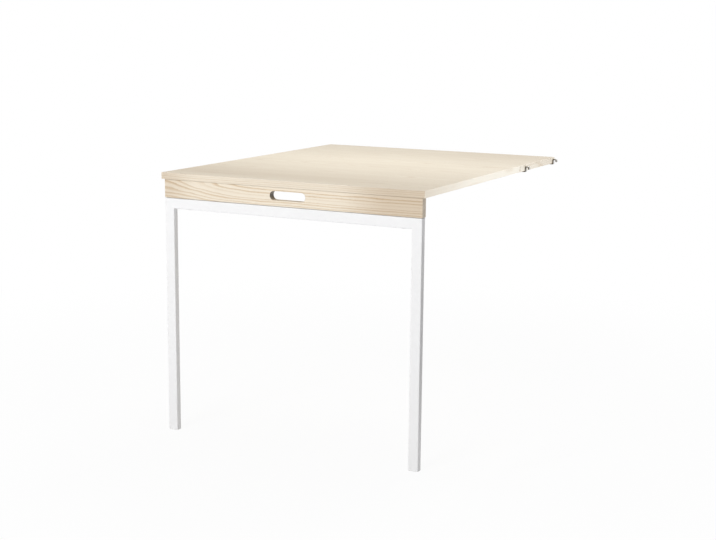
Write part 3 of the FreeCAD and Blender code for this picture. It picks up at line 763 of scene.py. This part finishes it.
def weld_bead(foot, height, shape, outward):
    """A rippled bead up the corner between a plate and the tube's rear face."""
    sides, cuts_per_ripple = 20, 5
    blunt_end, taper_length, bow_of_ripples, sunk = 0.25, 1.4, 0.35, 0.3
    radius, pitch = shape.bead_radius, shape.ripple_pitch
    bead = bmesh.new()
    bmesh.ops.create_cone(bead, cap_ends=True, segments=sides, radius1=radius, radius2=radius, depth=height)
    upright = [edge for edge in bead.edges if abs(edge.verts[0].co.z - edge.verts[1].co.z) > height / 2]
    cuts = cuts_per_ripple * round(height / pitch)
    bmesh.ops.subdivide_edges(bead, edges=upright, cuts=cuts, use_grid_fill=True)
    for vert in bead.verts:
        from_end = height / 2 - abs(vert.co.z)
        taper = math.sqrt(min(1.0, blunt_end + from_end / radius / taper_length))
        bow = bow_of_ripples * vert.co.y / radius
        ripple = 1.0 + shape.ripple_share * math.cos(math.tau * (vert.co.z / pitch + bow))
        vert.co.x *= ripple * taper
        vert.co.y *= ripple * taper
    bmesh.ops.translate(bead, verts=bead.verts, vec=foot + Vector((0.0, 0.0, height / 2)))
    for normal in (Vector((outward, 0.0, 0.0)), Vector((0.0, 1.0, 0.0))):
        geometry = bead.verts[:] + bead.edges[:] + bead.faces[:]
        result = bmesh.ops.bisect_plane(bead, geom=geometry, plane_co=foot - normal * radius * sunk,
                                        plane_no=normal, clear_inner=True)
        rim = [item for item in result["geom_cut"] if isinstance(item, bmesh.types.BMEdge)]
        bmesh.ops.holes_fill(bead, edges=rim, sides=0)
    return bead


def washer_outline(near, far, bore, radius, ease):
    """Outline of a washer between two places along X, with its four corners eased."""
    inward = math.copysign(ease, far - near)
    return [(near, bore + ease), (near, radius - ease), (near + inward, radius), (far - inward, radius),
            (far, radius - ease), (far, bore + ease), (far - inward, bore), (near + inward, bore)]


def between(first, last, steps=4):
    """Points in even steps from one to another, with both ends."""
    return [tuple(a + (b - a) * step / steps for a, b in zip(first, last)) for step in range(steps + 1)]


def nut_outline(shape):
    """Outline of a lock nut, as (share of its height from the seat, radius)."""
    seat_chamfer, seat_radius, top_chamfer, top_radius = 0.10, 0.95, 0.12, 0.94
    fillet_width, fillet_height, collar_bends, ledge = 0.0004, 0.04, 0.86, 0.9
    flat = shape.nut_flats / 2
    corner = flat / math.cos(math.pi / 6)
    hexagon, collar, bore = shape.nut_hexagon, shape.nut_collar, shape.bolt_radius
    inside = collar - shape.nut_lip
    seat = between((0.0, flat * seat_radius), (seat_chamfer, corner))
    top = between((hexagon - top_chamfer, corner), (hexagon, flat * top_radius))
    fillet = [(hexagon, collar + fillet_width), (hexagon + fillet_height, collar + fillet_width / 4)]
    rolled_lip = [(collar_bends, collar), (0.95, collar - 0.00025), (1.0, collar - 0.0008), (0.985, inside)]
    return [(0.0, bore), *seat, *top, *fillet, *rolled_lip, (ledge, inside), (ledge, bore)]


def nylon_ring_outline(shape):
    """Outline of the ring in a lock nut, as (share of the nut's height from the seat, radius)."""
    foot, shoulder, top, ease = 0.89, 0.95, 0.965, 0.0002
    outside, bore = shape.nut_collar - shape.nut_lip, shape.bolt_radius
    return [(foot, bore), (foot, outside), (shoulder, outside), (top, outside - ease), (top, bore + ease),
            (shoulder, bore)]


def cut_to_hexagon(bm, centre, flats):
    """Moves what stands outside a hexagon, whose flats are across Y, back onto it."""
    sixth = math.tau / 6
    for vert in bm.verts:
        y, z = vert.co.y - centre.y, vert.co.z - centre.z
        radius = math.hypot(y, z)
        turn = (math.atan2(z, y) + sixth / 2) % sixth - sixth / 2
        limit = flats / 2 / math.cos(turn)
        if radius > limit:
            vert.co.y = centre.y + y * limit / radius
            vert.co.z = centre.z + z * limit / radius


# Studio

def lamp(name, stands, aim, size, watts, colour=WHITE, in_mirrors=True):
    """A rectangular soft box, aimed at a point."""
    data = bpy.data.lights.new(name, "AREA")
    data.shape = "RECTANGLE"
    data.size, data.size_y = size
    data.energy = watts
    data.color = colour
    made = bpy.data.objects.new(name, data)
    bpy.context.scene.collection.objects.link(made)
    made.location = stands
    made.rotation_euler = (Vector(aim) - Vector(stands)).to_track_quat("-Z", "Y").to_euler()
    made.visible_camera = False
    made.visible_glossy = in_mirrors
    return made


def light_only(made, names):
    """Keeps a lamp's light to some pieces of the model."""
    group = bpy.data.collections.new(made.name + "_receivers")
    for name in names:
        group.objects.link(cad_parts[name])
    made.light_linking.receiver_collection = group


def studio_lamps(settings):
    """Two large soft boxes, a small lamp above the top, and one that lights only strips and right hooks."""
    soft_box, edge_away = (1.8, 1.4), 4.0
    lamp("key_lamp", stands=(-0.5, -4.6, 2.6), aim=(0.0, -0.3, 0.6), size=soft_box,
         watts=settings.key_watts, in_mirrors=False)
    lamp("rear_lamp", stands=(0.3, 4.5, 4.6), aim=(0.0, 0.0, 0.5), size=soft_box, watts=settings.rear_watts)
    top = lamp("top_lamp", stands=(0.0, 0.05, 1.6), aim=(0.0, 0.05, 0.7), size=(1.0, 0.4),
               watts=settings.top_watts, in_mirrors=False)
    top.data.spread = settings.top_spread
    beside = (TABLE_RIGHT + edge_away, 0.0, BOARD_MIDDLE)
    edge = lamp("edge_lamp", stands=beside, aim=(0.0, 0.0, BOARD_MIDDLE), size=(0.3, 0.05),
                watts=settings.edge_watts, colour=settings.edge_colour, in_mirrors=False)
    strips = [board + "_edge_" + end for board in BOARDS for end in ("right", "front", "rear")]
    light_only(edge, ["hook_front_right", "hook_rear_right", *strips])


def seen_directly(tree):
    """One where a ray comes straight from the eye, a mirror or glass."""
    rays = add(tree, "LightPath").outputs
    seen = maths(tree, "MAXIMUM", rays["Is Camera Ray"], rays["Is Glossy Ray"])
    return maths(tree, "MAXIMUM", seen, rays["Is Transmission Ray"])


def floor_material(settings):
    """A pale floor that whitens away from the table and can be seen through from below."""
    glow_starts, glow_full = 0.6, 2.2
    material = bpy.data.materials.new("studio_floor")
    material.use_nodes = True
    tree = material.node_tree
    tree.nodes.clear()
    matt = add(tree, "BsdfDiffuse", {"Color": solid(settings.floor_colour)})
    glow = add(tree, "Emission", {"Color": solid(WHITE), "Strength": 1.0})
    away = add(tree, "VectorMath", {0: place(tree)[0]}, operation="LENGTH").outputs["Value"]
    white = mapped(tree, away, glow_starts, glow_full, settings.glow_near, 1.0, smooth=True)
    share = maths(tree, "MULTIPLY", seen_directly(tree), white)
    pale = add(tree, "MixShader", {0: share, 1: matt.outputs[0], 2: glow.outputs[0]})
    clear = add(tree, "BsdfTransparent")
    behind = add(tree, "NewGeometry").outputs["Backfacing"]
    either = add(tree, "MixShader", {0: behind, 1: pale.outputs[0], 2: clear.outputs[0]})
    output = tree.nodes.new("ShaderNodeOutputMaterial")
    feed(tree, output.inputs["Surface"], either.outputs[0])
    return material


def stage_object(bm, name, material):
    """Turns a bmesh into a thing of the studio."""
    mesh = bpy.data.meshes.new(name)
    bm.to_mesh(mesh)
    bm.free()
    mesh.materials.append(material)
    made = bpy.data.objects.new(name, mesh)
    bpy.context.scene.collection.objects.link(made)
    return made


def studio_floor(settings):
    """A square floor, a hair below the feet, that keeps their soft shadow."""
    below_feet = 0.0005
    bm = bmesh.new()
    bmesh.ops.create_grid(bm, x_segments=1, y_segments=1, size=settings.floor_size / 2)
    floor = stage_object(bm, "studio_floor", floor_material(settings))
    floor.location.z = -below_feet


def dark_card():
    """A black card to the right of the right leg, which only keeps light off it."""
    away, reach, foot, top = 0.16, 0.05, 0.06, 0.62
    leg_low, leg_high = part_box("leg_right")
    x = leg_high.x + away
    low, high = Vector((x, leg_low.y - reach, foot)), Vector((x, leg_high.y + reach, top))
    bm = bmesh.new()
    bmesh.ops.create_grid(bm, x_segments=1, y_segments=1, size=0.5)
    bmesh.ops.rotate(bm, verts=bm.verts, cent=(0.0, 0.0, 0.0), matrix=Matrix.Rotation(math.pi / 2, 3, "Y"))
    bmesh.ops.scale(bm, verts=bm.verts, vec=(1.0, high.y - low.y, high.z - low.z))
    bmesh.ops.translate(bm, verts=bm.verts, vec=(low + high) / 2)
    material, _, shader = new_material("dark_card")
    shader.inputs["Base Color"].default_value = solid(BLACK)
    card = stage_object(bm, "dark_card", material)
    card.visible_camera = False
    card.visible_glossy = False


def studio_world(settings):
    """White where it is seen, and an even soft light for everything else."""
    world = bpy.data.worlds.new("studio")
    world.use_nodes = True
    bpy.context.scene.world = world
    tree = world.node_tree
    tree.nodes.clear()
    strength = mapped(tree, seen_directly(tree), 0.0, 1.0, settings.room_level, 1.0)
    back = add(tree, "Background", {"Color": solid(WHITE), "Strength": strength})
    output = tree.nodes.new("ShaderNodeOutputWorld")
    feed(tree, output.inputs["Surface"], back.outputs[0])


def studio_camera(settings):
    """The camera, in front of the table's right side and a little above it."""
    data = bpy.data.cameras.new("camera")
    data.sensor_width = 36.0
    data.lens = settings.focal_length
    camera = bpy.data.objects.new("camera", data)
    bpy.context.scene.collection.objects.link(camera)
    turn = Matrix.Rotation(settings.camera_turn, 4, "Z")
    dip = Matrix.Rotation(math.pi / 2 - settings.camera_dip, 4, "X")
    roll = Matrix.Rotation(settings.camera_roll, 4, "Z")
    camera.matrix_world = Matrix.Translation(settings.camera_place) @ turn @ dip @ roll
    bpy.context.scene.camera = camera


# Steps

class TableStep:
    """What all steps share: they run on their own and raise when they can't finish."""
    bl_options = {"REGISTER", "UNDO"}


class TABLE_OT_make_groups(TableStep, Operator):
    """Make the node groups that the finishes share"""
    bl_idname = "table.make_groups"
    bl_label = "Make Shared Groups"

    def execute(self, context):
        make_ring_group()
        make_fibre_group()
        make_ash_group()
        make_orange_peel_group()
        make_metal_group()
        return {"FINISHED"}


class TABLE_OT_dress_wood(TableStep, Operator):
    """Finish the boards, their edge strips, the apron and its dowels in wood"""
    bl_idname = "table.dress_wood"
    bl_label = "Dress Wood"

    def execute(self, context):
        ash = context.scene.table_ash
        dress(veneer_material(ash), "shelf_panel", "leaf_panel")
        dress(apron_material(ash), "apron")
        dress(edge_material(ash), *(board + "_edge_" + end for board in BOARDS for end in ("front", "rear")))
        dress(side_edge_material(ash), *(board + "_edge_" + side for board in BOARDS for side in SIDES))
        dress(dowel_material(ash), "apron_dowels")
        return {"FINISHED"}


class TABLE_OT_dress_leg_frame(TableStep, Operator):
    """Powder coat the tubes and ears, and finish the feet, buffers and washers"""
    bl_idname = "table.dress_leg_frame"
    bl_label = "Dress Leg Frame"

    def execute(self, context):
        paint = context.scene.table_paint
        coat = painted_material("white_powder_coat", paint.white, roughness=paint.paint_roughness,
                                wave=0.0022, depth=0.00006)
        plastic = painted_material("white_plastic", paint.foot_white, roughness=0.5,
                                   wave=0.0006, depth=0.00003)
        rubber = painted_material("grey_rubber", paint.buffer_grey, roughness=0.75,
                                  wave=0.0009, depth=0.00005)
        nylon = painted_material("black_nylon", paint.washer_black, roughness=0.45,
                                 wave=0.0007, depth=0.00002)
        painted_material("nut_ring_nylon", paint.nut_ring, roughness=0.4, wave=0.0006, depth=0.00001)
        dress(coat, "crossbar")
        dress(nylon, "pivot_washers")
        for side in SIDES:
            dress(coat, "leg_" + side, "pivot_ears_" + side)
            dress(plastic, "foot_" + side)
            dress(rubber, "buffer_" + side)
        return {"FINISHED"}


class TABLE_OT_dress_fittings(TableStep, Operator):
    """Finish the hooks in bare steel, and hinges, brackets, bolts and screws in zinc"""
    bl_idname = "table.dress_fittings"
    bl_label = "Dress Fittings"

    def execute(self, context):
        steel = context.scene.table_steel
        hooks = steel_material("hook_steel", steel.hook_steel, steel.hook_stain, steel.hook_roughness,
                               stretch=(40.0, 2600.0, 40.0), cut=steel.hook_cut)
        zinc = steel_material("zinc_steel", steel.zinc, steel.zinc_stain, steel.zinc_roughness,
                              stretch=(40.0, 1400.0, 1400.0))
        for side in SIDES:
            dress(hooks, "hook_front_" + side, "hook_rear_" + side)
            dress(zinc, "fold_bracket_" + side, "pivot_bolt_" + side, "pivot_nut_" + side)
        for hinge in HINGES:
            dress(zinc, "hinge_shelf_wing_" + hinge, "hinge_leaf_wing_" + hinge, "hinge_pin_" + hinge)
        dress(zinc, "hook_screws", "shelf_hinge_screws", "leaf_hinge_screws", "fold_bracket_screws")
        return {"FINISHED"}


class TABLE_OT_weld_ears(TableStep, Operator):
    """Lay weld beads up both outer sides of each pair of ears"""
    bl_idname = "table.weld_ears"
    bl_label = "Weld Ears"

    def execute(self, context):
        shape = context.scene.table_fittings
        for side in SIDES:
            low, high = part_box("pivot_ears_" + side)
            root = high.z - shape.ear_root
            beads = [weld_bead(Vector((x, BAR_REAR, root)), shape.ear_root, shape, outward)
                     for x, outward in ((low.x, -1), (high.x, 1))]
            finished(joined(beads), "ear_weld_" + side, "leg_frame", "white_powder_coat")
        return {"FINISHED"}


class TABLE_OT_fit_washers(TableStep, Operator):
    """Put eased nylon washers between the ears and the brackets"""
    bl_idname = "table.fit_washers"
    bl_label = "Fit Friction Washers"

    def execute(self, context):
        round_steps = 48
        shape = context.scene.table_fittings
        thickness, play = shape.washer_thickness, shape.washer_play
        low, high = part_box("pivot_washers")
        radius = (high.z - low.z) / 2
        rings = []
        for side, sign in (("left", -1), ("right", 1)):
            bolt_low, bolt_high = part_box("pivot_bolt_" + side)
            outer_face = sign * (high.x - thickness)
            inner_face = outer_face - sign * shape.web_metal
            for face, away in ((outer_face, sign), (inner_face, -sign)):
                outline = washer_outline(face + away * play, face + away * (thickness - play),
                                         shape.bolt_radius, radius, shape.washer_ease)
                rings.append(lathe(outline, (bolt_low + bolt_high) / 2, round_steps))
        made = finished(joined(rings), "friction_washers", "leg_frame", "black_nylon")
        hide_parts("pivot_washers")
        return {"FINISHED"}


class TABLE_OT_fit_lock_nuts(TableStep, Operator):
    """Put a chamfered lock nut with a nylon ring on each pivot bolt"""
    bl_idname = "table.fit_lock_nuts"
    bl_label = "Fit Lock Nuts"

    def execute(self, context):
        nut_steps, ring_steps = 72, 48
        shape = context.scene.table_fittings
        for side in SIDES:
            low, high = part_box("pivot_nut_" + side)
            seat, crown = (high.x, low.x) if side == "right" else (low.x, high.x)
            centre = (low + high) / 2

            def turned(outline, steps):
                """A shape turned from an outline in shares of the nut's height."""
                points = [(seat + (crown - seat) * share, radius) for share, radius in outline]
                return lathe(points, centre, steps)

            bm = turned(nut_outline(shape), nut_steps)
            cut_to_hexagon(bm, centre, shape.nut_flats)
            nut = finished(bm, "lock_nut_" + side, "leg_frame", "zinc_steel")
            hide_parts("pivot_nut_" + side)
            ring = turned(nylon_ring_outline(shape), ring_steps)
            finished(ring, "nut_ring_" + side, "leg_frame", "black_nylon", "nut_ring_nylon")
        return {"FINISHED"}


class TABLE_OT_set_studio(TableStep, Operator):
    """Set up the floor, the soft light and the camera"""
    bl_idname = "table.set_studio"
    bl_label = "Set Up Studio"

    def execute(self, context):
        settings = context.scene.table_studio
        studio_floor(settings)
        studio_world(settings)
        studio_camera(settings)
        studio_lamps(settings)
        dark_card()
        context.scene.view_settings.view_transform = "Standard"
        return {"FINISHED"}


STEPS = (
    TABLE_OT_make_groups,
    TABLE_OT_dress_wood,
    TABLE_OT_dress_leg_frame,
    TABLE_OT_dress_fittings,
    TABLE_OT_weld_ears,
    TABLE_OT_fit_washers,
    TABLE_OT_fit_lock_nuts,
    TABLE_OT_set_studio,
)


class TABLE_PT_steps(Panel):
    """Lists the steps and the settings in the 3D view's sidebar"""
    bl_idname = "TABLE_PT_steps"
    bl_label = "Drop Leaf Table"
    bl_space_type = "VIEW_3D"
    bl_region_type = "UI"
    bl_category = "Table"

    def draw(self, context):
        for name, settings in SETTINGS.items():
            column = self.layout.column(align=True)
            for setting in settings.__annotations__:
                column.prop(getattr(context.scene, name), setting)
        column = self.layout.column(align=True)
        for step in STEPS:
            column.operator(step.bl_idname)


def register():
    for name, settings in SETTINGS.items():
        bpy.utils.register_class(settings)
        setattr(bpy.types.Scene, name, PointerProperty(type=settings))
    for step in STEPS:
        bpy.utils.register_class(step)
    bpy.utils.register_class(TABLE_PT_steps)


def unregister():
    bpy.utils.unregister_class(TABLE_PT_steps)
    for step in reversed(STEPS):
        bpy.utils.unregister_class(step)
    for name, settings in reversed(SETTINGS.items()):
        delattr(bpy.types.Scene, name)
        bpy.utils.unregister_class(settings)


def run_step(step):
    """Runs one step by its name, as its button would."""
    group, name = step.bl_idname.split(".")
    result = getattr(getattr(bpy.ops, group), name)()
    if result != {"FINISHED"}:
        raise RuntimeError(f"{step.bl_label} didn't finish")


def main():
    register()
    for step in STEPS:
        run_step(step)


if __name__ == "__main__":
    main()
